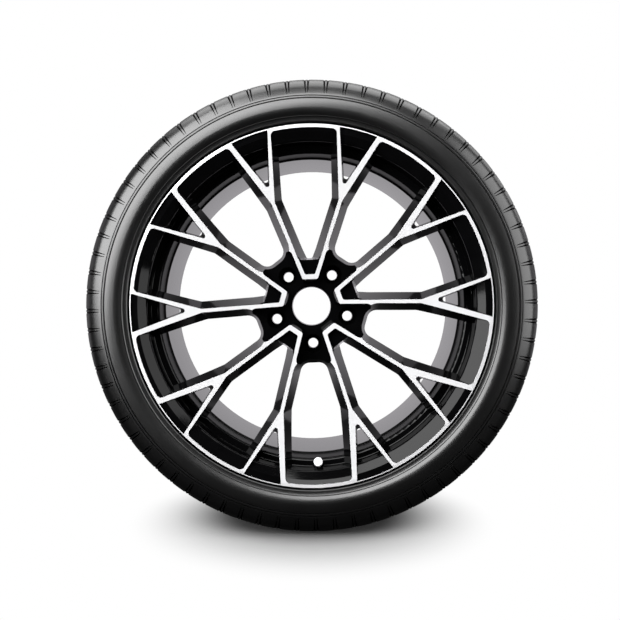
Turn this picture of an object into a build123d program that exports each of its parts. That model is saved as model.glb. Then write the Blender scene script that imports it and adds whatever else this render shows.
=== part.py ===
from build123d import *
from math import cos, hypot, radians, sin, sqrt, tan
import os

os.makedirs("parts", exist_ok=True)

# Rim size, in mm: a 19 inch drop-centre rim, 9 inches between the flanges
bead_seat_radius = 243.7
flange_height = 17.5
rim_width = 228.6
flange_thickness = 12.0
wheel_offset = 40.0
stand_turn = -2.5

# Rim section
ring_width = 5.2
thin_ring_width = 2.0
lip_step = 6.0
lip_depth = 3.5
lip_cone_end = 11.5
seat_wall = 5.7
seat_width = 20.0
seat_drop = 1.75
hump_height = 1.5
seat_wall_end = 38.0
well_radius = 226.0
well_start = 41.0
well_end = 74.0
ridge_height = 2.6
ridge_run = 4.0
ridge_back_run = 12.0
barrel_wall = 5.5
back_opening_radius = 232.1
back_lip = 3.5
back_lip_depth = 7.0
hump_run = 4.0
back_slope = 12.0
edge_round = 1.0
lip_round = 2.0
seat_round = 4.0
hump_round = 2.0
bead_round = 5.0
flange_round = 7.0
well_round = 5.0
well_end_round = 12.0
ridge_round = 3.0
barrel_round = 20.0
disc_lap = 2.0

# Spoke layout, five of each window
spoke_sets = 5
face_middle_radius = 150.0
face_middle_depth = 13.5
face_hub_radius = 20.0
face_hub_depth = 23.0
leg_angle = 20.03
leg_offset = 6.05
leg_width = 5.8
u_arm_offset = 49.1
u_arm_width = 5.95
lug_arm_offset = 51.0
lug_arm_width = 8.7
back_rim_depth = 36.0
back_middle_radius = 160.0
back_middle_depth = 48.0
back_hub_radius = 88.0
back_hub_depth = 66.0
arm_flank = 8.9
arm_front_depth = 5.0
arm_flank_depth = 40.0
triangle_flank = 4.0
crotch_fillet = 3.3
ring_corner_fillet = 7.5
fork_fillet = 12.0

# Window ends next to the hub
u_back_fork = (37.0, 159.9)
u_end_front = 67.5
u_end_back = 72.6
u_end_half_width = 5.0
lug_back_fork = (36.4, 152.2)
lug_end_front = 74.0
lug_end_back = 86.6
lug_end_half_width = 16.7
window_end_depth = 70.0
u_end_fillets = (6.0, 2.0)
lug_end_fillets = (36.0, 9.0)
window_front = -4.0
window_back = 80.0
corner_pick = 0.1

# Hub
bore_radius = 28.55
bore_front_chamfer = 2.5
bore_back_chamfer = 1.5
pad_radius = 70.0
pad_step = 74.0
pad_step_depth = 74.0
bolt_circle_radius = 56.0
bolt_hole_radius = 7.5
bolt_pocket_radius = 13.5
bolt_pocket_depth = 14.0
bolt_pocket_chamfer = 0.8
bolt_overrun = 1.0
bolt_seat_angle = 30.0
hub_floor_depth = 44.0
u_shelf_depth = 30.0
u_bar_offset = 42.9
u_bar_width = 7.2
u_bar_base_offset = 33.8
pocket_front = 10.0
pocket_draft = 2.5
pocket_lean = 1.0
lug_pocket_corner = 8.0
shelf_lean = 0.4
shelf_corner = 2.5
bar_corner = 3.0

# Tyre, 265 wide with a 35 per cent section
tyre_radius = 334.0
section_half_width = 133.0
tread_drop = 1.2
tread_drop_reach = 60.0
tread_depth = 7.0
groove_offsets = (28.0, 72.0)
groove_width = 10.0
groove_draft = 1.0
groove_round = 1.5
rubber_fit = 0.25
protector_gap = 2.2
toe_share = 0.95
toe_round = 1.5
heel_round = 5.6
flange_bend = 8.6
tread_thickness = 13.0
contact_half_length = 36.0
shoulder_groove_count = 72
shoulder_groove_width = 4.4
shoulder_groove_depth = 2.6
shoulder_groove_stagger = 0.25

# Tyre outside from the rim protector to the shoulder:
# rise above the flange gap, inset from the widest line, rounding
sidewall_corners = (
    (0.0, 8.0, 0.8),
    (1.2, 6.4, 0.6),
    (6.9, 5.8, 0.6),
    (7.9, 5.0, 0.4),
    (9.0, 6.2, 0.5),
    (10.0, 6.1, 0.8),
    (13.6, 1.4, 5.0),
    (18.6, 0.0, 14.0),
    (29.6, 1.6, 30.0),
)
shoulder_corners = ((40.6, 5.4), (50.6, 10.5), (57.6, 15.7), (62.6, 21.7), (66.1, 30.5))

# Tyre inside from the crown to the bead:
# drop below the tread, inset from the widest line, rounding
liner_corners = (
    (13.0, 73.0, 60.0),
    (17.0, 32.0, 14.0),
    (28.0, 14.5, 14.0),
    (50.0, 8.5, 18.0),
    (72.0, 25.0, 12.0),
)
liner_toe_rise = 4.0

# Valve, clamped through the sloping wall of the well; heights run outwards from its seat
valve_tilt = 16.0
valve_seat_radius = 233.0
valve_pad_radius = 9.0
valve_pad_thickness = 6.5
valve_hole_radius = 5.75
spot_margin = 0.4
spot_reach = 8.0
stem_radius = 4.1
stem_tip_radius = 3.8
stem_bore_radius = 2.6
stem_air_radius = 1.4
stem_head_radius = 6.2
stem_head_thickness = 2.5
stem_length = 23.0
stem_shoulder = 10.5
grommet_radius = 6.6
grommet_thickness = 2.5
washer_radius = 7.0
washer_thickness = 1.5
nut_sides = 6
nut_across_flats = 12.0
nut_chamfer_angle = 30.0
nut_cut_margin = 1.0
nut_height = 5.5
screw_clearance = 0.15
slide_clearance = 0.1
core_bottom = 8.0
core_top = 21.0
core_wall = 0.75
core_end_wall = 1.6
core_ring_height = 1.2
core_ring_step = 0.35
pin_radius = 0.75
pin_top = 22.5
pin_collar_radius = 1.5
pin_collar_thickness = 0.6
pin_collar_top = 18.6
cup_radius = 2.15
cup_height = 2.4
pin_foot = 1.2
pin_foot_radius = 1.2
spring_wire = 0.34
spring_turns = 7
cap_radius = 6.5
cap_skirt = 11.0
cap_end_thickness = 2.0
cap_seal_thickness = 1.0
cap_edge = 0.8
cap_flutes = 24
cap_flute_radius = 0.5
cap_flute_length = 9.0

flange_radius = bead_seat_radius + flange_height
rim_depth = rim_width + 2 * flange_thickness
front_y = wheel_offset - rim_depth / 2
hub_depth = -front_y
ring_radius = flange_radius - ring_width
seat_inner_radius = bead_seat_radius - seat_wall
set_angle = 360 / spoke_sets
half_set = set_angle / 2
lug_leg_angle = half_set - leg_angle


def section_point(radius, depth):
    return (radius, front_y + depth)


def face_plane(depth):
    return Plane.XZ.offset(-front_y - depth)


def on_circle(x, radius):
    return (x, sqrt(radius**2 - x**2))


def between(front, front_depth, back, back_depth, depth):
    share = (depth - front_depth) / (back_depth - front_depth)
    return tuple(a + (b - a) * share for a, b in zip(front, back))


def u_leg_edge(y):
    return y * tan(radians(leg_angle)) - (leg_offset + leg_width / 2) / cos(radians(leg_angle))


def lug_leg_edge(y):
    return y * tan(radians(lug_leg_angle)) + (leg_offset - leg_width / 2) / cos(radians(lug_leg_angle))


# Rim: one turned section, the visible side first and the tyre side second
slope_length = hypot(seat_inner_radius - well_radius, well_start - seat_wall_end)
slope_shift = barrel_wall * (seat_inner_radius - well_radius) / slope_length
hump_radius = bead_seat_radius - seat_drop + hump_height
hump_start = flange_thickness + seat_width
rim_corners = [
    (ring_radius, 0, edge_round / 2),
    (ring_radius - lip_step, lip_depth, lip_round),
    (seat_inner_radius, lip_cone_end, seat_round),
    (seat_inner_radius, seat_wall_end, hump_round),
    (well_radius, well_start, well_round),
    (well_radius, well_end, ridge_round),
    (well_radius - ridge_height, well_end + ridge_run, ridge_round),
    (back_opening_radius, rim_depth - back_lip_depth, seat_round),
    (back_opening_radius + back_lip, rim_depth, edge_round),
    (flange_radius, rim_depth, 3 * edge_round),
    (flange_radius, rim_depth - flange_thickness, flange_round),
    (bead_seat_radius, rim_depth - flange_thickness, bead_round),
    (bead_seat_radius - seat_drop, rim_depth - hump_start, hump_round),
    (hump_radius, rim_depth - hump_start - hump_run, hump_round),
    (back_opening_radius + barrel_wall, rim_depth - hump_start - back_slope, well_round),
    (well_radius - ridge_height + barrel_wall, well_end + ridge_back_run, barrel_round),
    (well_radius + barrel_wall, well_end, well_end_round),
    (well_radius + barrel_wall, well_start + slope_shift, well_round),
    (hump_radius, seat_wall_end + slope_shift, hump_round),
    (hump_radius, hump_start + hump_run, hump_round),
    (bead_seat_radius - seat_drop, hump_start, hump_round),
    (bead_seat_radius, flange_thickness, bead_round),
    (flange_radius, flange_thickness, flange_round),
    (flange_radius, 0, edge_round),
]

with BuildPart() as rim:
    with BuildSketch(Plane.XY):
        with BuildLine():
            FilletPolyline(
                *[section_point(radius, depth) for radius, depth, _ in rim_corners],
                radius=[corner for _, _, corner in rim_corners],
                close=True,
            )
        make_face()
    revolve(axis=Axis.Y)

# One fifth of the spoke disc before its windows: dished face, deeper towards the hub at the back
sector_out = Vector(-sin(radians(half_set)), 0, cos(radians(half_set)))
sector_plane = Plane(origin=(0, 0, 0), x_dir=sector_out, z_dir=sector_out.cross(Vector(0, 1, 0)))

with BuildPart() as disc_fifth:
    with BuildSketch(sector_plane):
        with BuildLine():
            ThreePointArc(
                section_point(face_hub_radius, face_hub_depth),
                section_point(face_middle_radius, face_middle_depth),
                section_point(ring_radius, 0),
            )
            Polyline(
                section_point(ring_radius, 0),
                section_point(ring_radius + ring_width / 2, 0),
                section_point(ring_radius + ring_width / 2, lip_depth),
                section_point(seat_inner_radius + seat_wall / 2, lip_cone_end + disc_lap),
                section_point(seat_inner_radius + seat_wall / 2, back_rim_depth),
            )
            ThreePointArc(
                section_point(seat_inner_radius + seat_wall / 2, back_rim_depth),
                section_point(back_middle_radius, back_middle_depth),
                section_point(back_hub_radius, back_hub_depth),
            )
            Polyline(
                section_point(back_hub_radius, back_hub_depth),
                section_point(pad_step, pad_step_depth),
                section_point(pad_radius, hub_depth),
                section_point(face_hub_radius, hub_depth),
                section_point(face_hub_radius, face_hub_depth),
            )
        make_face()
    revolve(axis=Axis.Y, revolution_arc=set_angle)

# Windows: each side leans in from the bright front edge to the edge seen at the back
u_arm_edge = u_arm_offset - u_arm_width / 2
u_fork_y = (u_arm_edge - u_leg_edge(0)) / tan(radians(leg_angle))
lug_arm_edge = lug_arm_offset - lug_arm_width / 2
lug_fork_y = (lug_arm_edge - lug_leg_edge(0)) / tan(radians(lug_leg_angle))


def arm_shift(flank, depth):
    return flank * (depth - arm_front_depth) / (arm_flank_depth - arm_front_depth)


def window_outline(depth, arm_edge, fork, end, end_fillet):
    edge_x = arm_edge - arm_shift(arm_flank, depth)
    with BuildSketch(face_plane(depth)) as outline:
        with BuildLine():
            ring_end = on_circle(edge_x, ring_radius)
            ThreePointArc((-edge_x, ring_end[1]), (0, ring_radius), ring_end)
            Polyline(ring_end, fork, end, (-end[0], end[1]), (-fork[0], fork[1]), (-edge_x, ring_end[1]))
        make_face()
        fillet(outline.vertices().group_by(Axis.Y)[2], ring_corner_fillet)
        fork_low, fork_high = fork[1] - corner_pick, fork[1] + corner_pick
        fillet(outline.vertices().filter_by_position(Axis.Y, fork_low, fork_high), fork_fillet)
        fillet(outline.vertices().group_by(Axis.Y)[0], end_fillet)
    return outline.sketch


def u_outline(depth, end_fillet):
    fork = between((u_arm_edge, u_fork_y), face_middle_depth, u_back_fork, back_middle_depth, depth)
    end_front = (u_leg_edge(u_end_front), u_end_front)
    end = between(end_front, face_hub_depth, (u_end_half_width, u_end_back), window_end_depth, depth)
    return window_outline(depth, u_arm_edge, fork, end, end_fillet)


def lug_outline(depth, end_fillet):
    fork = between((lug_arm_edge, lug_fork_y), face_middle_depth, lug_back_fork, back_middle_depth, depth)
    end_front = (lug_leg_edge(lug_end_front), lug_end_front)
    end = between(end_front, face_hub_depth, (lug_end_half_width, lug_end_back), window_end_depth, depth)
    return window_outline(depth, lug_arm_edge, fork, end, end_fillet)


def triangle_outline(depth, ring_end):
    shift = arm_shift(triangle_flank, depth)
    near = u_arm_offset + u_arm_width / 2 + shift
    far = lug_arm_offset + lug_arm_width / 2 + shift
    turn = radians(half_set)
    near_end = on_circle(near, ring_end)
    far_side = sqrt(ring_end**2 - far**2)
    far_end = (far_side * sin(turn) - far * cos(turn), far_side * cos(turn) + far * sin(turn))
    crotch = (near, (far + near * cos(turn)) / sin(turn))
    bow = (near_end[0] + far_end[0], near_end[1] + far_end[1])
    middle = (bow[0] * ring_end / hypot(*bow), bow[1] * ring_end / hypot(*bow))
    with BuildSketch(face_plane(depth)) as outline:
        with BuildLine():
            ThreePointArc(near_end, middle, far_end)
            Polyline(far_end, crotch, near_end)
        make_face()
        fillet(outline.vertices().sort_by(Axis.Y)[0], crotch_fillet)
    return outline.sketch


with BuildPart() as u_window:
    u_depths = zip((window_front, window_back), u_end_fillets)
    loft([u_outline(depth, corner) for depth, corner in u_depths], ruled=True)

with BuildPart() as lug_window:
    lug_depths = zip((window_front, window_back), lug_end_fillets)
    loft([lug_outline(depth, corner) for depth, corner in lug_depths], ruled=True)

with BuildPart() as triangle_window:
    loft([triangle_outline(depth, ring_radius) for depth in (window_front, window_back)], ruled=True)

with BuildPart() as thin_ring_cut:
    thin_ring_radius = flange_radius - thin_ring_width
    loft([triangle_outline(depth, thin_ring_radius) for depth in (window_front, lip_depth)], ruled=True)

# Hub pockets: the floor round the bore, the five bolt floors and the five shelves inside the U bars
bar_lean = (u_bar_offset - u_bar_width / 2 - u_bar_base_offset) / (hub_floor_depth - face_hub_depth)

with BuildPart() as bore_floor:
    with BuildSketch(face_plane(hub_floor_depth)):
        RegularPolygon(u_bar_base_offset, spoke_sets, major_radius=False, rotation=-half_set / 2)
    with BuildSketch(face_plane(pocket_front)):
        front_offset = u_bar_base_offset + bar_lean * (hub_floor_depth - pocket_front)
        RegularPolygon(front_offset, spoke_sets, major_radius=False, rotation=-half_set / 2)
    loft(ruled=True)

with BuildPart() as lug_pocket:
    with BuildSketch(face_plane(hub_floor_depth)) as lug_floor:
        with BuildLine():
            inner = lug_leg_edge(bore_radius) - pocket_lean
            outer = lug_leg_edge(lug_end_back) - pocket_lean
            Polyline(
                (-inner, bore_radius),
                (inner, bore_radius),
                (outer, lug_end_back),
                (-outer, lug_end_back),
                close=True,
            )
        make_face()
        fillet(lug_floor.vertices().group_by(Axis.Y)[-1], lug_pocket_corner)
    extrude(amount=hub_floor_depth - pocket_front, taper=-pocket_draft)

with BuildPart() as u_shelf:
    with BuildSketch(face_plane(u_shelf_depth)) as shelf_floor:
        with BuildLine():
            shelf_start = u_bar_offset + u_bar_width / 2 + shelf_lean
            inner = u_leg_edge(shelf_start) - shelf_lean
            outer = u_leg_edge(u_end_back) - shelf_lean
            Polyline(
                (-inner, shelf_start),
                (inner, shelf_start),
                (outer, u_end_back),
                (-outer, u_end_back),
                close=True,
            )
        make_face()
        fillet(shelf_floor.vertices().group_by(Axis.Y)[0], shelf_corner)
    extrude(amount=u_shelf_depth - pocket_front, taper=-pocket_draft)

# Hub holes: centre bore, and a bolt hole with its seat and pocket
with BuildPart() as bore_cut:
    with BuildSketch(Plane.XY):
        with BuildLine():
            Polyline(
                section_point(0, pocket_front),
                section_point(bore_radius + bore_front_chamfer, pocket_front),
                section_point(bore_radius + bore_front_chamfer, hub_floor_depth),
                section_point(bore_radius, hub_floor_depth + bore_front_chamfer),
                section_point(bore_radius, hub_depth - bore_back_chamfer),
                section_point(bore_radius + 2 * bore_back_chamfer, hub_depth + bore_back_chamfer),
                section_point(0, hub_depth + bore_back_chamfer),
                close=True,
            )
        make_face()
    revolve(axis=Axis.Y)

bolt_seat_start = hub_floor_depth + bolt_pocket_depth
bolt_seat_length = (bolt_pocket_radius - bolt_hole_radius) / tan(radians(bolt_seat_angle))

with BuildPart() as bolt_cut:
    with BuildSketch(Plane.XY.offset(bolt_circle_radius)):
        with BuildLine():
            Polyline(
                section_point(0, pocket_front),
                section_point(bolt_pocket_radius + bolt_pocket_chamfer, pocket_front),
                section_point(bolt_pocket_radius + bolt_pocket_chamfer, hub_floor_depth),
                section_point(bolt_pocket_radius, hub_floor_depth + bolt_pocket_chamfer),
                section_point(bolt_pocket_radius, bolt_seat_start),
                section_point(bolt_hole_radius, bolt_seat_start + bolt_seat_length),
                section_point(bolt_hole_radius, hub_depth + bolt_overrun),
                section_point(0, hub_depth + bolt_overrun),
                close=True,
            )
        make_face()
    revolve(axis=Axis((0, 0, bolt_circle_radius), (0, 1, 0)))

# Valve seat: a flat pad across the sloping wall, square to the valve
valve_angle = radians(180 + stand_turn)
valve_out = Vector(sin(valve_angle), 0, cos(valve_angle))
slope_share = (seat_inner_radius - valve_seat_radius) / (seat_inner_radius - well_radius)
valve_seat_depth = seat_wall_end + (well_start - seat_wall_end) * slope_share
valve_axis = Vector(0, -cos(radians(valve_tilt)), 0) - valve_out * sin(radians(valve_tilt))
valve_side = Vector(cos(valve_angle), 0, -sin(valve_angle))
valve_plane = Plane(
    origin=valve_out * valve_seat_radius + Vector(0, front_y + valve_seat_depth, 0),
    x_dir=valve_side,
    z_dir=valve_axis,
)
valve_section = Plane(origin=valve_plane.origin, x_dir=valve_side, z_dir=valve_side.cross(valve_axis))
valve_line = Axis(valve_plane.origin, valve_axis)
washer_spot = washer_radius + spot_margin
grommet_spot = grommet_radius + spot_margin

with BuildPart() as spoke_fifth:
    add(disc_fifth.part)
    add([u_window.part, u_shelf.part, triangle_window.part], mode=Mode.SUBTRACT)
    add(triangle_window.part.mirror(Plane.YZ), mode=Mode.SUBTRACT)
    for tool in (lug_window, lug_pocket, bolt_cut):
        add([tool.part.rotate(Axis.Y, turn) for turn in (-half_set, half_set)], mode=Mode.SUBTRACT)
    add([bore_floor.part, bore_cut.part], mode=Mode.SUBTRACT)
    rising_edges = spoke_fifth.edges().filter_by(lambda edge: abs((edge @ 1).Y - (edge @ 0).Y) > u_bar_width)
    bar_edges = rising_edges.filter_by_position(Axis.Z, u_bar_base_offset, u_bar_offset)
    fillet(bar_edges.filter_by_position(Axis.X, -u_bar_base_offset / 2, u_bar_base_offset / 2), bar_corner)

with BuildPart() as alloy_wheel:
    add(rim.part)
    set_turns = [set_angle * i + stand_turn for i in range(spoke_sets)]
    add([spoke_fifth.part.rotate(Axis.Y, turn) for turn in set_turns])
    for tool in (thin_ring_cut.part, thin_ring_cut.part.mirror(Plane.YZ)):
        add([tool.rotate(Axis.Y, turn) for turn in set_turns], mode=Mode.SUBTRACT)
    with BuildSketch(valve_plane.offset(-valve_pad_thickness)):
        Circle(valve_pad_radius)
    extrude(amount=valve_pad_thickness)
    with BuildSketch(valve_plane):
        Circle(washer_spot)
    extrude(amount=spot_reach, mode=Mode.SUBTRACT)
    with BuildSketch(valve_plane.offset(-valve_pad_thickness)):
        Circle(grommet_spot)
    extrude(amount=-spot_reach, mode=Mode.SUBTRACT)
    with BuildSketch(valve_plane):
        Circle(valve_hole_radius)
    extrude(amount=-valve_pad_thickness, mode=Mode.SUBTRACT)

alloy_wheel.part.label = "alloy_wheel"
export_step(alloy_wheel.part, "parts/alloy_wheel.step")

# Tyre: half a section from the bead toe over the outside to the crown, then the liner back
rim_half = rim_width / 2
flange_gap_radius = flange_radius + protector_gap
bead_toe = (bead_seat_radius - seat_drop * toe_share + rubber_fit, rim_half - seat_width * toe_share)
bead_heel = (bead_seat_radius + rubber_fit, rim_half - rubber_fit)


def tyre_point(radius, side):
    return (radius, wheel_offset - side)


def crown_radius(side):
    return tyre_radius - tread_drop * (side / tread_drop_reach) ** 2


def outside_point(rise, inset):
    return (flange_gap_radius + rise, section_half_width - inset)


front_half = [(*bead_toe, toe_round), (*bead_heel, heel_round)]
front_half += [(flange_gap_radius, bead_heel[1], flange_bend)]
front_half += [(*outside_point(rise, inset), corner) for rise, inset, corner in sidewall_corners]
front_half += [(*outside_point(*corner), 0) for corner in shoulder_corners]
for offset in reversed(groove_offsets):
    outer = offset + groove_width / 2
    inner = offset - groove_width / 2
    groove_floor = crown_radius(offset) - tread_depth
    front_half += [
        (crown_radius(outer), outer, 0),
        (groove_floor, outer - groove_draft, groove_round),
        (groove_floor, inner + groove_draft, groove_round),
        (crown_radius(inner), inner, 0),
    ]
liner_half = [
    (tyre_radius - drop, section_half_width - inset, corner) for drop, inset, corner in liner_corners
]
liner_half += [(bead_toe[0] + liner_toe_rise, bead_toe[1], liner_toe_rise)]
section = [(*tyre_point(r, s), corner) for r, s, corner in front_half]
section += [(*tyre_point(r, -s), corner) for r, s, corner in reversed(front_half)]
section += [(*tyre_point(r, -s), corner) for r, s, corner in reversed(liner_half)]
section += [(*tyre_point(r, s), corner) for r, s, corner in liner_half]

# Shoulder groove: starts level with the sidewall and ends short of the outer tread groove
groove_stop = groove_offsets[1] + groove_width
groove_dig = shoulder_groove_depth / sqrt(2)

with BuildPart() as shoulder_groove:
    with BuildSketch(Plane.XY):
        with BuildLine():
            (first_rise, first_inset), *next_corners = shoulder_corners
            mouth = outside_point(first_rise, first_inset - groove_dig)
            floor = [outside_point(rise - groove_dig, inset + groove_dig) for rise, inset in next_corners]
            Polyline(
                tyre_point(*mouth),
                *[tyre_point(*point) for point in floor],
                tyre_point(floor[-1][0], groove_stop),
                tyre_point(tyre_radius + tread_thickness, groove_stop),
                tyre_point(tyre_radius + tread_thickness, mouth[1]),
                close=True,
            )
        make_face()
    extrude(amount=shoulder_groove_width / 2, both=True)

contact_height = sqrt(tyre_radius**2 - contact_half_length**2)
groove_pitch = 360 / shoulder_groove_count

with BuildPart() as tyre:
    with BuildSketch(Plane.XY):
        with BuildLine():
            FilletPolyline(*[(x, y) for x, y, _ in section], radius=[c for _, _, c in section], close=True)
        make_face()
    revolve(axis=Axis.Y)
    far_groove = shoulder_groove.part.mirror(Plane.XZ.offset(-wheel_offset))
    near_turns = [groove_pitch * (i + shoulder_groove_stagger) for i in range(shoulder_groove_count)]
    far_turns = [turn + groove_pitch / 2 for turn in near_turns]
    add(
        [shoulder_groove.part.rotate(Axis.Y, turn) for turn in near_turns]
        + [far_groove.rotate(Axis.Y, turn) for turn in far_turns],
        mode=Mode.SUBTRACT,
    )
    with Locations((0, wheel_offset, -contact_height)):
        Box(
            4 * contact_half_length,
            3 * section_half_width,
            tread_thickness,
            align=(Align.CENTER, Align.CENTER, Align.MAX),
            mode=Mode.SUBTRACT,
        )

tyre.part.label = "tyre"
export_step(tyre.part, "parts/tyre.step")

# Valve pieces, all turned about the valve line
head_top = -valve_pad_thickness - grommet_thickness
nut_bottom = washer_thickness
nut_top = nut_bottom + nut_height
core_radius = stem_bore_radius - slide_clearance
core_inner = core_radius - core_wall
cup_top = core_bottom - slide_clearance
cup_bottom = cup_top - cup_height
pin_bottom = cup_bottom - pin_foot
cap_bore = stem_tip_radius + screw_clearance
seal_bottom = stem_length + slide_clearance
seal_top = seal_bottom + cap_seal_thickness
cap_top = seal_top + cap_end_thickness


def turned(*corners):
    with BuildPart() as piece:
        with BuildSketch(valve_section):
            with BuildLine():
                Polyline(*corners, close=True)
            make_face()
        revolve(axis=valve_line)
    return piece.part


with BuildPart() as valve_stem:
    add(
        turned(
            (stem_air_radius, head_top - stem_head_thickness),
            (stem_head_radius, head_top - stem_head_thickness),
            (stem_head_radius, head_top),
            (stem_radius, head_top),
            (stem_radius, stem_shoulder),
            (stem_tip_radius, stem_shoulder),
            (stem_tip_radius, stem_length),
            (stem_bore_radius, stem_length),
            (stem_bore_radius, 0),
            (stem_air_radius, 0),
        )
    )

valve_stem.part.label = "valve_stem"
export_step(valve_stem.part, "parts/valve_stem.step")

with BuildPart() as valve_grommet:
    add(
        turned(
            (stem_radius + slide_clearance, head_top),
            (grommet_radius, head_top),
            (grommet_radius, -valve_pad_thickness),
            (valve_hole_radius - slide_clearance, -valve_pad_thickness),
            (valve_hole_radius - slide_clearance, -washer_thickness / 2),
            (stem_radius + slide_clearance, -washer_thickness / 2),
        )
    )

valve_grommet.part.label = "valve_grommet"
export_step(valve_grommet.part, "parts/valve_grommet.step")

with BuildPart() as valve_washer:
    with BuildSketch(valve_plane):
        Circle(washer_radius)
        Circle(stem_radius + screw_clearance, mode=Mode.SUBTRACT)
    extrude(amount=washer_thickness)

valve_washer.part.label = "valve_washer"
export_step(valve_washer.part, "parts/valve_washer.step")

with BuildPart() as valve_nut:
    with BuildSketch(valve_plane.offset(nut_bottom)):
        RegularPolygon(nut_across_flats / 2, nut_sides, major_radius=False)
        Circle(stem_radius + screw_clearance, mode=Mode.SUBTRACT)
    extrude(amount=nut_height)
    nut_corner = nut_across_flats / 2 / cos(radians(180 / nut_sides))
    nut_slope = (nut_corner - nut_across_flats / 2) * tan(radians(nut_chamfer_angle))
    nut_cone = turned(
        (nut_across_flats / 2, nut_top),
        (nut_corner + nut_cut_margin, nut_top),
        (nut_corner + nut_cut_margin, nut_top - nut_slope * 2),
    )
    add(nut_cone, mode=Mode.SUBTRACT)

valve_nut.part.label = "valve_nut"
export_step(valve_nut.part, "parts/valve_nut.step")

ring_seat = core_top - core_end_wall - core_ring_height

with BuildPart() as valve_core_barrel:
    add(
        turned(
            (pin_radius + slide_clearance, core_bottom),
            (core_radius, core_bottom),
            (core_radius, core_top - core_end_wall - 2 * core_ring_height),
            (core_radius - core_ring_step, core_top - core_end_wall - 2 * core_ring_height),
            (core_radius - core_ring_step, ring_seat),
            (core_radius, ring_seat),
            (core_radius, core_top),
            (pin_radius + slide_clearance, core_top),
            (pin_radius + slide_clearance, core_top - core_end_wall),
            (core_inner, core_top - core_end_wall),
            (core_inner, core_bottom + core_end_wall),
            (pin_radius + slide_clearance, core_bottom + core_end_wall),
        )
    )

valve_core_barrel.part.label = "valve_core_barrel"
export_step(valve_core_barrel.part, "parts/valve_core_barrel.step")

with BuildPart() as valve_core_ring:
    with BuildSketch(valve_plane.offset(ring_seat - core_ring_height)):
        Circle(stem_bore_radius)
        Circle(core_radius - core_ring_step, mode=Mode.SUBTRACT)
    extrude(amount=core_ring_height)

valve_core_ring.part.label = "valve_core_ring"
export_step(valve_core_ring.part, "parts/valve_core_ring.step")

with BuildPart() as valve_pin:
    add(
        turned(
            (0, pin_bottom),
            (pin_foot_radius, pin_bottom),
            (pin_foot_radius, cup_bottom),
            (pin_radius, cup_bottom),
            (pin_radius, pin_collar_top - pin_collar_thickness),
            (pin_collar_radius, pin_collar_top - pin_collar_thickness),
            (pin_collar_radius, pin_collar_top),
            (pin_radius, pin_collar_top),
            (pin_radius, pin_top),
            (0, pin_top),
        )
    )

valve_pin.part.label = "valve_pin"
export_step(valve_pin.part, "parts/valve_pin.step")

with BuildPart() as valve_pin_seal:
    with BuildSketch(valve_plane.offset(cup_bottom)):
        Circle(cup_radius)
        Circle(pin_radius, mode=Mode.SUBTRACT)
    extrude(amount=cup_height)

valve_pin_seal.part.label = "valve_pin_seal"
export_step(valve_pin_seal.part, "parts/valve_pin_seal.step")

spring_bottom = core_bottom + core_end_wall + spring_wire / 2
spring_height = pin_collar_top - pin_collar_thickness - spring_wire / 2 - spring_bottom
spring_radius = (pin_radius + core_inner) / 2

with BuildPart() as valve_spring:
    with BuildLine() as coil:
        Helix(
            pitch=spring_height / spring_turns,
            height=spring_height,
            radius=spring_radius,
            center=valve_plane.offset(spring_bottom).origin,
            direction=valve_axis,
        )
    with BuildSketch(Plane(origin=coil.line @ 0, z_dir=coil.line % 0)):
        Circle(spring_wire / 2)
    sweep(is_frenet=True)

valve_spring.part.label = "valve_spring"
export_step(valve_spring.part, "parts/valve_spring.step")

with BuildPart() as valve_cap:
    add(
        turned(
            (cap_bore, cap_skirt),
            (cap_radius - cap_edge / 2, cap_skirt),
            (cap_radius, cap_skirt + cap_edge / 2),
            (cap_radius, cap_top - cap_edge),
            (cap_radius - cap_edge, cap_top),
            (0, cap_top),
            (0, seal_top),
            (cap_bore, seal_top),
        )
    )
    with BuildSketch(valve_plane.offset(cap_skirt)):
        with PolarLocations(cap_radius, cap_flutes):
            Circle(cap_flute_radius)
    extrude(amount=cap_flute_length, mode=Mode.SUBTRACT)

valve_cap.part.label = "valve_cap"
export_step(valve_cap.part, "parts/valve_cap.step")

with BuildPart() as valve_cap_seal:
    with BuildSketch(valve_plane.offset(seal_bottom)):
        Circle(cap_bore - slide_clearance)
    extrude(amount=cap_seal_thickness)

valve_cap_seal.part.label = "valve_cap_seal"
export_step(valve_cap_seal.part, "parts/valve_cap_seal.step")
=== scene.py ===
import math

import bmesh
import bpy
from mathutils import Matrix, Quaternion, Vector


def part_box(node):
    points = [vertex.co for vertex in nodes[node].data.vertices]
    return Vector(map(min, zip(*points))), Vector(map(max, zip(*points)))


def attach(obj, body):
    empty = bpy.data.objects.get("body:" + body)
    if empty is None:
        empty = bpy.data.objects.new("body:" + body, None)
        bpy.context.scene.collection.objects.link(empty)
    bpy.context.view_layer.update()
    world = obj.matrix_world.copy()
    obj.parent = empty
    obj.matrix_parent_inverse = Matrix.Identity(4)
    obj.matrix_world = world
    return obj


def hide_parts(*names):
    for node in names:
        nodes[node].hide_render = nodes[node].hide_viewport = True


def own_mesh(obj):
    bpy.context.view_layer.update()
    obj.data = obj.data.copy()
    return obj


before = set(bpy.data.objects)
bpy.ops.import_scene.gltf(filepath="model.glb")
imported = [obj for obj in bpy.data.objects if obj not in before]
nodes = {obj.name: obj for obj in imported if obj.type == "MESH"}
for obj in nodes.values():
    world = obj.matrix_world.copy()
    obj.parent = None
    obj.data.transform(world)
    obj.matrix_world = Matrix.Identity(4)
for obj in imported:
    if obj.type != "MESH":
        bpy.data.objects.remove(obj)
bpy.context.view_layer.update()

# the wheel's own sizes, in metres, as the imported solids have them
wheelSizes = {
    "frontY": -0.0863,
    "middleY": 0.040,
    "ringEdge": (0.2540, 0.2550),
    "faceArc": ((0.020, 0.0230), (0.150, 0.0135), (0.2560, 0.0)),  # radius and depth of the turned face
    "turnDegrees": -2.5,
}


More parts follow.
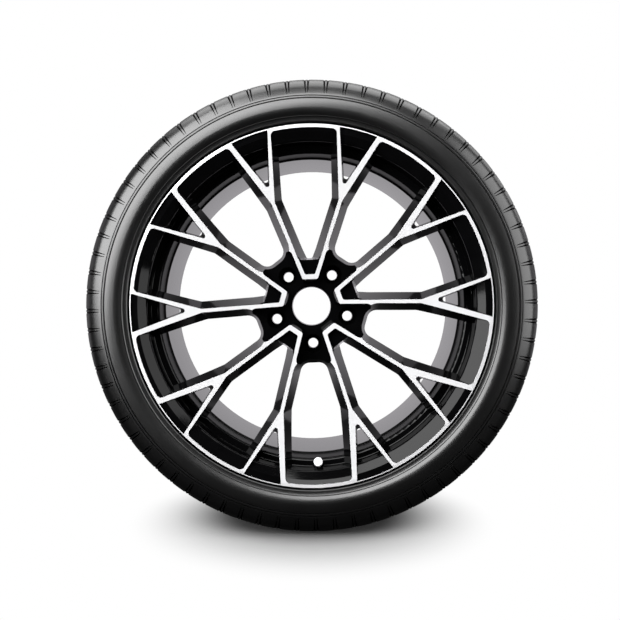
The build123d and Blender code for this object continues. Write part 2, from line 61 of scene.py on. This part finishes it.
class Val:
    # one shader socket; arithmetic on it adds Math nodes
    def __init__(self, graph, socket):
        self.graph = graph
        self.socket = socket

    def calc(self, operation, *others):
        return self.graph.add("ShaderNodeMath", {"operation": operation}, [self, *others])

    def __add__(self, other):
        return self.calc("ADD", other)

    def __mul__(self, other):
        return self.calc("MULTIPLY", other)

    def __sub__(self, other):
        return self.calc("SUBTRACT", other)

    def __rsub__(self, other):
        return self.graph.add("ShaderNodeMath", {"operation": "SUBTRACT"}, [other, self])

    def __truediv__(self, other):
        return self.calc("DIVIDE", other)

    def __pow__(self, other):
        return self.calc("POWER", other)

    def __abs__(self):
        return self.calc("ABSOLUTE")

    def step(self, low, high):
        # 0 below low, 1 above high, smooth between
        kinds = {"interpolation_type": "SMOOTHSTEP", "clamp": True}
        limits = {"Value": self, "From Min": low, "From Max": high}
        return self.graph.add("ShaderNodeMapRange", kinds, limits)


class Graph:
    # builds the nodes of a material, a world or a geometry tree
    def __init__(self, tree):
        self.tree = tree
        tree.nodes.clear()

    def add(self, kind, settings=None, inputs=None, out=0):
        # makes a node, sets and feeds it, and gives back one of its outputs
        node = self.tree.nodes.new(kind)
        for key, value in (settings or {}).items():
            setattr(node, key, value)
        pairs = inputs.items() if isinstance(inputs, dict) else enumerate(inputs or [])
        for key, value in pairs:
            self.feed(node.inputs[key], value)
        return Val(self, node.outputs[out]) if node.outputs else node

    def feed(self, socket, value):
        if isinstance(value, Val):
            self.tree.links.new(value.socket, socket)
        else:
            socket.default_value = value

    def place(self):
        # the object's own coordinates
        return self.add("ShaderNodeTexCoord", out="Object")

    def axes(self, vector):
        split = self.add("ShaderNodeSeparateXYZ", {}, [vector]).socket.node
        return [Val(self, output) for output in split.outputs]

    def noise(self, vector, scale, detail, rough=0.5):
        inputs = {"Vector": vector, "Scale": scale, "Detail": detail, "Roughness": rough}
        return self.add("ShaderNodeTexNoise", {}, inputs)

    def mix(self, factor, first, second):
        # by number, because the node has more sockets of these names
        colours = {0: factor, 6: first, 7: second}
        return self.add("ShaderNodeMix", {"data_type": "RGBA"}, colours, out=2)

    def bump(self, height, strength, distance):
        inputs = {"Height": height, "Strength": strength, "Distance": distance}
        return self.add("ShaderNodeBump", {}, inputs)

    def surface(self, inputs):
        shader = self.add("ShaderNodeBsdfPrincipled", {}, inputs)
        self.add("ShaderNodeOutputMaterial", {}, {"Surface": shader})


def grey(level):
    return (level, level, level, 1)


def newMaterial(name):
    material = bpy.data.materials.new(name)
    material.use_nodes = True
    return material, Graph(material.node_tree)


def circleThrough(first, second, third):
    # centre and radius of the circle through three points
    (ax, ay), (bx, by), (cx, cy) = first, second, third
    scale = 2 * (ax * (by - cy) + bx * (cy - ay) + cx * (ay - by))
    sa, sb, sc = ax * ax + ay * ay, bx * bx + by * by, cx * cx + cy * cy
    x = (sa * (by - cy) + sb * (cy - ay) + sc * (ay - by)) / scale
    y = (sa * (cx - bx) + sb * (ax - cx) + sc * (bx - ax)) / scale
    return x, y, math.hypot(ax - x, ay - y)


wheelFinish = {
    "paint": (0.0008, 0.0008, 0.0009, 1),
    "paintDust": (0.0020, 0.0020, 0.0022, 1),
    "paintRough": 0.05,
    "paintShine": 0.15,
    "wellRough": 0.45,
    "turnedLight": (0.64, 0.64, 0.65, 1),
    "turnedDark": (0.62, 0.62, 0.63, 1),
    "turnedRough": 0.36,
    "turnedMetal": 0.35,
    # how far off the turned face the bright finish ends, and how square to the front it has to be
    "edge": (0.0010, 0.0016),
    "facing": (-0.91, -0.875),
    # depths where the rougher well starts and ends
    "well": ((0.040, 0.044), (0.074, 0.078)),
    "wellRadius": (0.216, 0.220),
    # scale and detail of each noise; strength and distance of the bump
    "lines": (2600.0, 1.0),
    "lineBump": 0.06,
    "peel": (420.0, 2.0),
    "dust": (38.0, 4.0),
    "dustRough": 0.03,
    "bump": (0.05, 0.0002),
}


def makeWheelFinish(look):
    # gloss black paint with the front faces turned bright
    material, graph = newMaterial("blackPaintTurnedFace")
    place = graph.place()
    x, y, z = graph.axes(place)
    radius = (x * x + z * z) ** 0.5
    depth = y - wheelSizes["frontY"]
    arcRadius, arcDepth, arcSize = circleThrough(*wheelSizes["faceArc"])
    sideways = radius - arcRadius
    inwards = depth - arcDepth
    offFace = abs((sideways * sideways + inwards * inwards) ** 0.5 - arcSize)
    onSpokes = 1 - offFace.step(*look["edge"])
    onRing = (1 - depth.step(*look["edge"])) * radius.step(*wheelSizes["ringEdge"])
    facing = graph.axes(graph.add("ShaderNodeTexCoord", out="Normal"))[1]
    turned = onSpokes.calc("MAXIMUM", onRing) * (1 - facing.step(*look["facing"]))
    along = graph.add("ShaderNodeCombineXYZ", {}, [radius, 0.0, 0.0])
    lines = graph.noise(along, *look["lines"])
    peel = graph.noise(place, *look["peel"])
    dust = graph.noise(place, *look["dust"])
    bright = graph.mix(lines, look["turnedDark"], look["turnedLight"])
    wellStart, wellEnd = look["well"]
    inWell = depth.step(*wellStart) * (1 - depth.step(*wellEnd)) * radius.step(*look["wellRadius"])
    painted = inWell * (look["wellRough"] - look["paintRough"]) + look["paintRough"]
    graph.surface({
        "Base Color": graph.mix(turned, graph.mix(dust, look["paint"], look["paintDust"]), bright),
        "Metallic": turned * look["turnedMetal"],
        "Roughness": turned * look["turnedRough"] + (1 - turned) * painted + dust * look["dustRough"],
        "Specular IOR Level": look["paintShine"],
        "Normal": graph.bump(peel * (1 - turned) + lines * turned * look["lineBump"], *look["bump"]),
    })
    return material


tyreFinish = {
    "rubber": (0.0004, 0.0004, 0.00043, 1),
    "bloom": (0.0011, 0.0011, 0.0012, 1),
    "sidewallRough": 0.27,
    "treadRough": 0.42,
    "shine": 0.8,
    "treadRadius": (0.318, 0.326),
    "treadBloom": 0.2,
    "grain": (900.0, 3.0),
    "cloud": (24.0, 4.0, 0.6),
    "cloudRough": 0.06,
    "bump": (0.05, 0.0003),
}


def makeTyreFinish(look):
    # moulded rubber, smoother on the sidewall than on the tread
    material, graph = newMaterial("mouldedRubber")
    place = graph.place()
    x, _, z = graph.axes(place)
    radius = (x * x + z * z) ** 0.5
    tread = radius.step(*look["treadRadius"])
    grain = graph.noise(place, *look["grain"])
    cloud = graph.noise(place, *look["cloud"])
    paler = cloud * (1 - look["treadBloom"]) + tread * look["treadBloom"]
    rougher = tread * (look["treadRough"] - look["sidewallRough"]) + cloud * look["cloudRough"]
    graph.surface({
        "Base Color": graph.mix(paler, look["rubber"], look["bloom"]),
        "Roughness": rougher + look["sidewallRough"],
        "Specular IOR Level": look["shine"],
        "Normal": graph.bump(grain, *look["bump"]),
    })
    return material


metalFinish = {
    "cloud": (160.0, 3.0),
    "lines": (3200.0, 2.0),
    "lineRough": 0.1,
    "bump": (0.05, 0.0001),
}


def makeMetalFinish(name, look, light, dark, rough, metal):
    # turned small metal: fine lines and a soft cloud
    material, graph = newMaterial(name)
    place = graph.place()
    cloud = graph.noise(place, *look["cloud"])
    lines = graph.noise(place, *look["lines"])
    graph.surface({
        "Base Color": graph.mix(cloud, dark, light),
        "Metallic": metal,
        "Roughness": lines * look["lineRough"] + rough,
        "Normal": graph.bump(lines, *look["bump"]),
    })
    return material


sealFinish = {
    "grain": (2400.0, 3.0),
    "dark": (0.014, 0.014, 0.015, 1),
    "light": (0.03, 0.03, 0.031, 1),
    "rough": 0.6,
    "grainRough": 0.1,
    "bump": (0.1, 0.0001),
}


def makeSealFinish(look):
    material, graph = newMaterial("sealRubber")
    grain = graph.noise(graph.place(), *look["grain"])
    graph.surface({
        "Base Color": graph.mix(grain, look["dark"], look["light"]),
        "Roughness": grain * look["grainRough"] + look["rough"],
        "Normal": graph.bump(grain, *look["bump"]),
    })
    return material


# light and dark colour, roughness and metallic share
metalLooks = {
    "nickelPlate": ((0.78, 0.77, 0.74, 1), (0.62, 0.61, 0.58, 1), 0.25, 0.9),
    "darkPlate": ((0.030, 0.030, 0.031, 1), (0.018, 0.018, 0.019, 1), 0.3, 0.6),
    "brightCap": ((0.93, 0.93, 0.94, 1), (0.86, 0.86, 0.88, 1), 0.34, 0.3),
    "turnedBrass": ((0.80, 0.62, 0.30, 1), (0.66, 0.49, 0.22, 1), 0.28, 0.95),
    "springWire": ((0.62, 0.62, 0.63, 1), (0.45, 0.45, 0.46, 1), 0.3, 0.95),
}


def dress(name, material):
    slots = nodes[name].data.materials
    slots.clear()
    slots.append(material)


wheelMaterial = makeWheelFinish(wheelFinish)
tyreMaterial = makeTyreFinish(tyreFinish)
metals = {name: makeMetalFinish(name, metalFinish, *look) for name, look in metalLooks.items()}
sealMaterial = makeSealFinish(sealFinish)

nodeFinishes = {
    "alloy_wheel": wheelMaterial,
    "tyre": tyreMaterial,
    "valve_stem": metals["nickelPlate"],
    "valve_washer": metals["darkPlate"],
    "valve_nut": metals["darkPlate"],
    "valve_cap": metals["brightCap"],
    "valve_core_barrel": metals["turnedBrass"],
    "valve_pin": metals["turnedBrass"],
    "valve_spring": metals["springWire"],
    "valve_grommet": sealMaterial,
    "valve_core_ring": sealMaterial,
    "valve_pin_seal": sealMaterial,
    "valve_cap_seal": sealMaterial,
}
for nodeName, material in nodeFinishes.items():
    dress(nodeName, material)
print("finishes on", len(nodeFinishes), "nodes")

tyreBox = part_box("tyre")
tyreSizes = {
    "pitches": 72,
    "middleY": (tyreBox[0][1] + tyreBox[1][1]) / 2,
    "flat": tyreBox[0][2],
    "merge": 2e-5,
    "sharpDegrees": 35,
    "wallSteps": 2,
    # radius and distance from the middle plane: bead and rim protector, then bulge, then shoulder
    "bead": (
        (0.24220, 0.0953), (0.24300, 0.1040), (0.24380, 0.1110), (0.24490, 0.1134), (0.24700, 0.11405),
        (0.25560, 0.11405), (0.25900, 0.1148), (0.26200, 0.1174), (0.26320, 0.1205), (0.26340, 0.1262),
        (0.26370, 0.1272), (0.26420, 0.1276), (0.26475, 0.1282), (0.26530, 0.1277), (0.26590, 0.1278),
        (0.27000, 0.1282), (0.27070, 0.1287), (0.27130, 0.1293), (0.27190, 0.1286), (0.27240, 0.1280),
        (0.27330, 0.1284),
    ),
    "bulge": (
        (0.27600, 0.12990), (0.27900, 0.13096), (0.28200, 0.13146), (0.28400, 0.13155),
        (0.28800, 0.13143), (0.29200, 0.13108), (0.29600, 0.13052), (0.30000, 0.12974),
    ),
    "shoulder": (
        (0.30400, 0.12874), (0.30800, 0.12752), (0.31200, 0.12604), (0.31500, 0.12460),
        (0.31800, 0.12260), (0.32100, 0.11990), (0.32400, 0.11620), (0.32700, 0.11100),
        (0.32900, 0.10550), (0.33050, 0.0975), (0.33130, 0.0860),
    ),
    # radii of the two fine lines round the sidewall
    "lines": (0.2965, 0.3003),
    "lineHalf": 0.0008,
    "lineSlope": 0.4,
    "lineDepth": 0.0016,
    # pairs of slits across the shoulder: radii where they deepen, end and widen, then their gap and
    # half width as shares of a pitch, from the thin end to the wide one
    "slitStart": (0.3043, 0.3123),
    "slitEnd": (0.3270, 0.3305),
    "slitWiden": (0.3043, 0.3240),
    "slitGap": (0.062, 0.087),
    "slitHalf": (0.012, 0.056),
    "slitDig": 0.0034,
    # also shares of a pitch: how far all cuts are turned, and the gap and half width in the ribs
    "stagger": 0.25,
    "sipe": (0.25, 0.02),
    "sipeMargin": 0.003,
    "sipeStep": 0.0001,
    "sipeDepth": 0.0035,
    # the tread, by distance from the middle plane
    "treadEdge": 0.083,
    "grooveDraft": 0.001,
    "crown": 0.3340,
    "crownDrop": 0.0012,
    "crownReach": 0.060,
    "shoulderRib": 0.077,
    "ribs": ((0.033, 0.067), (0.0, 0.023)),
    "treadDepth": 0.0070,
    "liner": (
        (0.3210, 0.000), (0.3210, 0.050), (0.3190, 0.080), (0.3150, 0.098), (0.3060, 0.1125),
        (0.2960, 0.1215), (0.2860, 0.1245), (0.2750, 0.1200), (0.2660, 0.1090), (0.2560, 0.1000),
        (0.2470, 0.0960), (0.2430, 0.0950),
    ),
}


def softCurve(before, start, end, after, t):
    # a place between start and end on a curve through all four
    bend = 2 * before - 5 * start + 4 * end - after
    twist = 3 * start - before - 3 * end + after
    return 0.5 * (2 * start + (end - before) * t + bend * t ** 2 + twist * t ** 3)


def smoothPath(points, steps):
    # extra points on a soft curve through the given ones
    path = []
    for i in range(len(points) - 1):
        before = points[max(i - 1, 0)]
        after = points[min(i + 2, len(points) - 1)]
        for j in range(steps):
            four = zip(before, points[i], points[i + 1], after)
            path.append(tuple(softCurve(*values, j / steps) for values in four))
    return path + [points[-1]]


def crownRadius(sizes, side):
    return sizes["crown"] - sizes["crownDrop"] * (side / sizes["crownReach"]) ** 2


def ramp(value, low, high):
    return min(max((value - low) / (high - low), 0.0), 1.0)


def slitAt(sizes, share):
    # gap and half width of a pair of slits, from the thin end to the tread edge
    return [low + (high - low) * share for low, high in (sizes["slitGap"], sizes["slitHalf"])]


def tyrePath(sizes):
    # half the section from bead toe to tread edge: each point has its radius, its side, the slits'
    # gap and half width, and how far they dig in radius and side
    thin = slitAt(sizes, 0)
    path = [(r, s, *thin, 0.0, 0.0) for r, s in sizes["bead"]]
    wall = smoothPath(sizes["bulge"] + sizes["shoulder"], sizes["wallSteps"])
    half, rise = sizes["lineHalf"], sizes["lineHalf"] * sizes["lineSlope"]
    for (r, s), (nextR, nextS) in zip(wall, wall[1:]):
        dig = sizes["slitDig"] * ramp(r, *sizes["slitStart"]) * (1 - ramp(r, *sizes["slitEnd"]))
        path.append((r, s, *slitAt(sizes, ramp(r, *sizes["slitWiden"])), dig, dig))
        for line in sizes["lines"]:
            if r <= line < nextR:
                side = s + (nextS - s) * ramp(line, r, nextR)
                path.append((line - half, side + rise, *thin, 0.0, 0.0))
                path.append((line, side - sizes["lineDepth"], *thin, 0.0, 0.0))
                path.append((line + half, side - rise, *thin, 0.0, 0.0))
    return path


def cutRibs(sizes):
    # the tread from the shoulder to its middle: ribs with narrow cuts, and the grooves between them
    def crest(side, slits, dig):
        return (crownRadius(sizes, side), side, *slits, dig, 0.0)

    def grooveFloor(side, shift):
        floor = crownRadius(sizes, side) - sizes["treadDepth"]
        return (floor, side + shift, *sizes["sipe"], 0.0, 0.0)

    draft, sipe, margin = sizes["grooveDraft"], sizes["sipe"], sizes["sipeMargin"]
    path = [crest(sizes["treadEdge"], slitAt(sizes, 1), 0.0)]
    path += [crest(sizes["shoulderRib"], sipe, 0.0), grooveFloor(sizes["shoulderRib"], -draft)]
    for low, high in sizes["ribs"]:
        path += [grooveFloor(high, draft), crest(high, sipe, 0.0), crest(high - margin, sipe, 0.0)]
        path.append(crest(high - margin - sizes["sipeStep"], sipe, sizes["sipeDepth"]))
        if low > 0:
            path.append(crest(low + margin + sizes["sipeStep"], sipe, sizes["sipeDepth"]))
            path += [crest(low + margin, sipe, 0.0), crest(low, sipe, 0.0)]
            path.append(grooveFloor(low, -draft))
    return path


def makePitch(sizes):
    # one tread pitch of the tyre, with a pair of slits across the shoulder and the ribs
    half = tyrePath(sizes) + cutRibs(sizes)
    section = list(half)
    section += [(r, -s, gap, width, digR, -digS) for r, s, gap, width, digR, digS in reversed(half)]
    thin = slitAt(sizes, 0)
    section += [(r, -s, *thin, 0.0, 0.0) for r, s in reversed(sizes["liner"])]
    section += [(r, s, *thin, 0.0, 0.0) for r, s in sizes["liner"][1:]]
    step = 2 * math.pi / sizes["pitches"]
    # which columns run along the bottom of a slit; a and b are the two bottoms
    deepColumns = (0, 0, 1, 0, 0, 1, 0, 0)
    columns = [[] for _ in deepColumns]
    for r, s, gap, width, digR, digS in section:
        a, b = 0.5 - gap, 0.5 + gap
        places = (0.0, a - width, a, a + width, b - width, b, b + width, 1.0)
        for column, place, deep in zip(columns, places, deepColumns):
            angle = (place + sizes["stagger"]) * step
            reach, side = r - digR * deep, s - digS * deep
            column.append((reach * math.sin(angle), sizes["middleY"] - side, reach * math.cos(angle)))
    count = len(section)
    faces = []
    for c in range(len(columns) - 1):
        for i in range(count):
            j = (i + 1) % count
            faces.append((c * count + i, c * count + j, (c + 1) * count + j, (c + 1) * count + i))
    mesh = bpy.data.meshes.new("tyrePitch")
    mesh.from_pydata([point for column in columns for point in column], [], faces)
    return mesh


def newTree(name, sockets):
    # an empty geometry tree that takes a geometry and these sockets
    tree = bpy.data.node_groups.new(name, "GeometryNodeTree")
    graph = Graph(tree)
    kinds = {"Geometry": "Geometry", **sockets}
    for socketName, kind in kinds.items():
        tree.interface.new_socket(socketName, in_out="INPUT", socket_type="NodeSocket" + kind)
    tree.interface.new_socket("Geometry", in_out="OUTPUT", socket_type="NodeSocketGeometry")
    given = graph.add("NodeGroupInput").socket.node
    return tree, graph, [Val(graph, given.outputs[i]) for i in range(len(kinds))]


def ringTree(merge):
    # turns copies of one pitch round the axle, joins them and presses the contact patch flat
    sockets = {"Pitches": "Int", "Flat Height": "Float", "Rubber": "Material"}
    tree, graph, (pitch, count, flat, rubber) = newTree("tyreRing", sockets)
    points = graph.add("GeometryNodePoints", {}, {"Count": count})
    turn = graph.add("GeometryNodeInputIndex") * (2 * math.pi) / count
    angles = graph.add("ShaderNodeCombineXYZ", {}, {"Y": turn})
    spin = graph.add("FunctionNodeEulerToRotation", {}, [angles])
    copies = {"Points": points, "Instance": pitch, "Rotation": spin}
    ring = graph.add("GeometryNodeInstanceOnPoints", {}, copies)
    ring = graph.add("GeometryNodeRealizeInstances", {}, [ring])
    ring = graph.add("GeometryNodeMergeByDistance", {}, {"Geometry": ring, "Distance": merge})
    x, y, z = graph.axes(graph.add("GeometryNodeInputPosition"))
    pressed = graph.add("ShaderNodeCombineXYZ", {}, [x, y, z.calc("MAXIMUM", flat)])
    ring = graph.add("GeometryNodeSetPosition", {}, {"Geometry": ring, "Position": pressed})
    ring = graph.add("GeometryNodeSetMaterial", {}, {"Geometry": ring, "Material": rubber})
    graph.add("NodeGroupOutput", {}, [ring])
    return tree


def applyTree(seed, tree, values, name):
    # runs a geometry tree on a seed mesh and keeps the result as a plain mesh
    holder = bpy.data.objects.new(name + "Seed", seed)
    bpy.context.collection.objects.link(holder)
    modifier = holder.modifiers.new(name, "NODES")
    modifier.node_group = tree
    for socket in tree.interface.items_tree:
        if socket.in_out == "INPUT" and socket.name in values:
            modifier[socket.identifier] = values[socket.name]
    bpy.context.view_layer.update()
    shown = holder.evaluated_get(bpy.context.evaluated_depsgraph_get())
    mesh = bpy.data.meshes.new_from_object(shown)
    mesh.name = name
    bpy.data.objects.remove(holder)
    piece = bpy.data.objects.new(name, mesh)
    bpy.context.collection.objects.link(piece)
    return piece


def faceOutwards(mesh, sharpDegrees):
    # points a closed mesh outwards and keeps its crisp edges
    shape = bmesh.new()
    shape.from_mesh(mesh)
    bmesh.ops.recalc_face_normals(shape, faces=shape.faces)
    for face in shape.faces:
        face.smooth = True
    for edge in shape.edges:
        edge.smooth = edge.calc_face_angle(0) < math.radians(sharpDegrees)
    shape.to_mesh(mesh)
    shape.free()


def makeTyre(sizes):
    values = {"Pitches": sizes["pitches"], "Flat Height": sizes["flat"], "Rubber": tyreMaterial}
    tyre = applyTree(makePitch(sizes), ringTree(sizes["merge"]), values, "rubberTyre")
    faceOutwards(tyre.data, sizes["sharpDegrees"])
    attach(tyre, "wheel")
    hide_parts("tyre")
    print("tyre", len(tyre.data.polygons), "faces")


makeTyre(tyreSizes)

valveSizes = {
    "seatRadius": 0.2330,
    "seatDepth": 0.03925,
    "leanDegrees": 16.0,
    "pitch": 0.000794,
    "wire": 0.0003,
    "turnSteps": 32,
    "wireSteps": 8,
    "sharpDegrees": 60,
    # where each thread starts and ends above the valve's seat, and its crest radius
    "threads": {
        "stemThread": (0.0072, 0.0103, 0.0043),
        "tipThread": (0.0112, 0.0226, 0.0039),
    },
    # the spring, and the share of its length left when the pin is pressed
    "spring": {"start": 0.00977, "end": 0.01783, "radius": 0.00125, "wire": 0.00017, "turns": 7},
    "springKeep": 0.82,
}


def coilTree(sizes):
    # a round wire or ridge wound up an axis, then set on the valve
    tree, graph, inputs = newTree("valveCoil", {
        "Turns": "Float",
        "Height": "Float",
        "Radius": "Float",
        "Wire": "Float",
        "Lean": "Vector",
        "Place": "Vector",
        "Metal": "Material",
    })
    _, turns, height, radius, wire, lean, place, metal = inputs
    path = graph.add("GeometryNodeCurveSpiral", {}, {
        "Resolution": sizes["turnSteps"],
        "Rotations": turns,
        "Height": height,
        "Start Radius": radius,
        "End Radius": radius,
    })
    outline = {"Resolution": sizes["wireSteps"], "Radius": wire}
    ridge = graph.add("GeometryNodeCurvePrimitiveCircle", {}, outline)
    swept = {"Curve": path, "Profile Curve": ridge, "Fill Caps": True}
    coil = graph.add("GeometryNodeCurveToMesh", {}, swept)
    spin = graph.add("FunctionNodeEulerToRotation", {}, [lean])
    moved = {"Geometry": coil, "Translation": place, "Rotation": spin}
    coil = graph.add("GeometryNodeTransform", {}, moved)
    coil = graph.add("GeometryNodeSetMaterial", {}, {"Geometry": coil, "Material": metal})
    graph.add("NodeGroupOutput", {}, [coil])
    return tree


def valveAxis(sizes):
    # the valve's seat and the way it points
    angle = math.radians(180 + wheelSizes["turnDegrees"])
    lean = math.radians(sizes["leanDegrees"])
    out = Vector((math.sin(angle), 0, math.cos(angle)))
    seat = out * sizes["seatRadius"] + Vector((0, wheelSizes["frontY"] + sizes["seatDepth"], 0))
    return seat, Vector((0, -math.cos(lean), 0)) - out * math.sin(lean)


def makeCoil(name, tree, sizes, coil, metal):
    seat, axis = valveAxis(sizes)
    values = {
        "Turns": coil["turns"],
        "Height": coil["end"] - coil["start"],
        "Radius": coil["radius"],
        "Wire": coil["wire"],
        "Lean": tuple(Vector((0, 0, 1)).rotation_difference(axis).to_euler()),
        "Place": tuple(seat + axis * coil["start"]),
        "Metal": metal,
    }
    piece = applyTree(bpy.data.meshes.new(name + "Seed"), tree, values, name)
    faceOutwards(piece.data, sizes["sharpDegrees"])
    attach(piece, "wheel")
    print(name, len(piece.data.polygons), "faces")
    return piece


def makeCoils(sizes):
    # the valve's threads, and its spring
    tree = coilTree(sizes)
    wire = sizes["wire"]
    for name, (start, end, crest) in sizes["threads"].items():
        turns = (end - start) / sizes["pitch"]
        coil = {"start": start, "end": end, "radius": crest - wire, "wire": wire, "turns": turns}
        makeCoil(name, tree, sizes, coil, metals["nickelPlate"])
    coil = sizes["spring"]
    spring = makeCoil("returnSpring", tree, sizes, coil, metals["springWire"])
    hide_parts("valve_spring")
    seat, axis = valveAxis(sizes)
    foot = seat + axis * (coil["start"] - coil["wire"])
    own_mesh(spring)


makeCoils(valveSizes)

stageSizes = {
    "floorSize": 14.0,
    "floorColour": (0.19, 0.19, 0.19, 1),
    "floorPatch": (0.21, 0.21, 0.21, 1),
    "floorGrain": (30.0, 2.0),
    "floorGlow": 0.06,
    # painted contact shadow close to the tyre's foot: distances from its middle, how much x counts in
    # them, and the dark colour and dimmer glow painted there
    "foot": (0.095, 0.175),
    "contactShadowSquash": 0.6,
    "contactShadowColour": (0.07, 0.07, 0.07, 1),
    "contactShadowGlow": 0.35,
    # further out, where the floor turns plain white
    "fade": (0.12, 0.31),
    "fadeSquash": 1.15,
    # what mirrors see of the floor: dark in front, pale behind
    "floorDim": (0.01, 0.01, 0.01, 1),
    "floorBehind": (0.5, 1.3),
    "skyBack": 0.7,
    "skyColour": (0.985, 0.955, 1.0, 1),
    "skySide": 0.35,
    "skyFront": 0.02,
    # shares of the look direction: straight back, to the side, up or down, and forward
    "skyBehind": (0.72, 0.93),
    "skyAside": (0.55, 0.80),
    "skyTall": (0.25, 0.55),
    "skyForward": (-0.1, 0.2),
}


def makeFloor(sizes):
    # pale floor: keeps the lamps' shadow near the tyre, has a contact shadow painted dark under its
    # foot, and runs out to plain white
    half = sizes["floorSize"] / 2
    mesh = bpy.data.meshes.new("floor")
    low = tyreSizes["flat"]
    corners = [(-half, -half, low), (half, -half, low), (half, half, low), (-half, half, low)]
    mesh.from_pydata(corners, [], [(0, 1, 2, 3)])
    floor = bpy.data.objects.new("floor", mesh)
    bpy.context.collection.objects.link(floor)
    material, graph = newMaterial("paleFloor")
    place = graph.place()
    x, y, _ = graph.axes(place)
    along = y - wheelSizes["middleY"]
    away = (x * x * sizes["fadeSquash"] + along * along) ** 0.5
    fade = away.step(*sizes["fade"])
    near = (x * x * sizes["contactShadowSquash"] + along * along) ** 0.5
    offContactShadow = near.step(*sizes["foot"])
    grain = graph.noise(place, *sizes["floorGrain"])
    floorAndShadow = graph.mix(grain, sizes["floorColour"], sizes["floorPatch"])
    # painted contact shadow: the floor's colour turns dark close to the tyre's foot
    floorAndShadow = graph.mix(offContactShadow, sizes["contactShadowColour"], floorAndShadow)
    matt = graph.add("ShaderNodeBsdfDiffuse", {}, {"Color": floorAndShadow})
    # painted contact shadow: the floor's glow is dimmer close to the tyre's foot
    tint = graph.mix(offContactShadow, grey(sizes["contactShadowGlow"]), grey(1.0))
    glow = graph.add("ShaderNodeEmission", {}, {"Color": tint, "Strength": sizes["floorGlow"]})
    white = graph.add("ShaderNodeEmission", {}, {"Color": grey(1.0), "Strength": 1.0})
    shaded = graph.add("ShaderNodeAddShader", {}, [matt, glow])
    faded = graph.add("ShaderNodeMixShader", {}, [fade, shaded, white])
    seen = graph.add("ShaderNodeLightPath", out="Is Camera Ray")
    dim = graph.add("ShaderNodeBsdfDiffuse", {}, {"Color": sizes["floorDim"]})
    sky = {"Color": sizes["skyColour"], "Strength": sizes["skyBack"]}
    pale = graph.add("ShaderNodeEmission", {}, sky)
    behind = y.step(*sizes["floorBehind"])
    mirrored = graph.add("ShaderNodeMixShader", {}, [behind, dim, pale])
    shown = graph.add("ShaderNodeMixShader", {}, [seen, mirrored, faded])
    graph.add("ShaderNodeOutputMaterial", {}, {"Surface": shown})
    mesh.materials.append(material)


def makeSky(sizes):
    # white to the camera; to the rest, white behind the wheel, pale at both sides and dark in front
    world = bpy.data.worlds.new("studio")
    bpy.context.scene.world = world
    world.use_nodes = True
    graph = Graph(world.node_tree)
    x, y, z = graph.axes(graph.add("ShaderNodeTexCoord", out="Generated"))
    behind = y.step(*sizes["skyBehind"])
    beside = abs(x).step(*sizes["skyAside"]) * (1 - abs(z).step(*sizes["skyTall"]))
    beside = beside * y.step(*sizes["skyForward"])
    level = behind * sizes["skyBack"] + beside * sizes["skySide"] + sizes["skyFront"]
    seen = graph.add("ShaderNodeLightPath", out="Is Camera Ray")
    tint = graph.mix(seen, sizes["skyColour"], grey(1.0))
    shown = {"Color": tint, "Strength": seen.calc("MAXIMUM", level)}
    glow = graph.add("ShaderNodeBackground", {}, shown)
    graph.add("ShaderNodeOutputWorld", {}, {"Surface": glow})


lampSizes = {
    "keyLamp": {
        "place": (-1.279, -1.469, 0.796), "aim": (-0.199, -0.019, -0.174),
        "size": (2.27, 1.70), "power": 108, "roll": 48,
    },
    "keyTopLamp": {
        "place": (0.105, -1.970, 1.587), "aim": (1.185, -0.520, 0.617),
        "size": (0.95, 0.81), "power": 22, "roll": 48,
    },
    "sideLamp": {
        "place": (1.493, -0.801, 0.325), "aim": (-0.038, -0.137, 0),
        "size": (1.25, 2.1), "power": 30, "roll": 0,
    },
    "topLamp": {
        "place": (0, 0.20, 2.1), "aim": (0, 0.04, 0),
        "size": (3.0, 2.2), "power": 70, "roll": 0,
    },
    "rimLamp": {
        "place": (1.39, 0.85, 1.17), "aim": (0, 0, 0.1),
        "size": (0.8, 1.2), "power": 6, "roll": 0,
    },
}


def lookFrom(sizes):
    # the turn that points a lamp or the camera from its place at its aim
    return (Vector(sizes["aim"]) - Vector(sizes["place"])).to_track_quat("-Z", "Y")


def addLamp(name, sizes):
    lamp = bpy.data.lights.new(name, "AREA")
    lamp.shape = "RECTANGLE"
    lamp.size, lamp.size_y = sizes["size"]
    lamp.energy = sizes["power"]
    holder = bpy.data.objects.new(name, lamp)
    holder.location = sizes["place"]
    roll = Quaternion((0, 0, 1), math.radians(sizes["roll"]))
    holder.rotation_euler = (lookFrom(sizes) @ roll).to_euler()
    bpy.context.collection.objects.link(holder)


cameraSizes = {
    "lens": 45.0,
    "sensor": 36.0,
    "clipStart": 0.01,
    "place": (0.0090, -1.1943, 0.0070),
    "aim": (-0.0018, -0.0863, -0.0053),
}


def makeCamera(sizes):
    camera = bpy.data.cameras.new("camera")
    camera.lens = sizes["lens"]
    camera.sensor_width = sizes["sensor"]
    camera.clip_start = sizes["clipStart"]
    camera.dof.use_dof = False
    holder = bpy.data.objects.new("camera", camera)
    holder.location = sizes["place"]
    holder.rotation_euler = lookFrom(sizes).to_euler()
    bpy.context.collection.objects.link(holder)
    bpy.context.scene.camera = holder


makeFloor(stageSizes)
makeSky(stageSizes)
for lampName, sizes in lampSizes.items():
    addLamp(lampName, sizes)
makeCamera(cameraSizes)
bpy.context.scene.view_settings.view_transform = "Standard"
print("stage, lamps and camera ready")
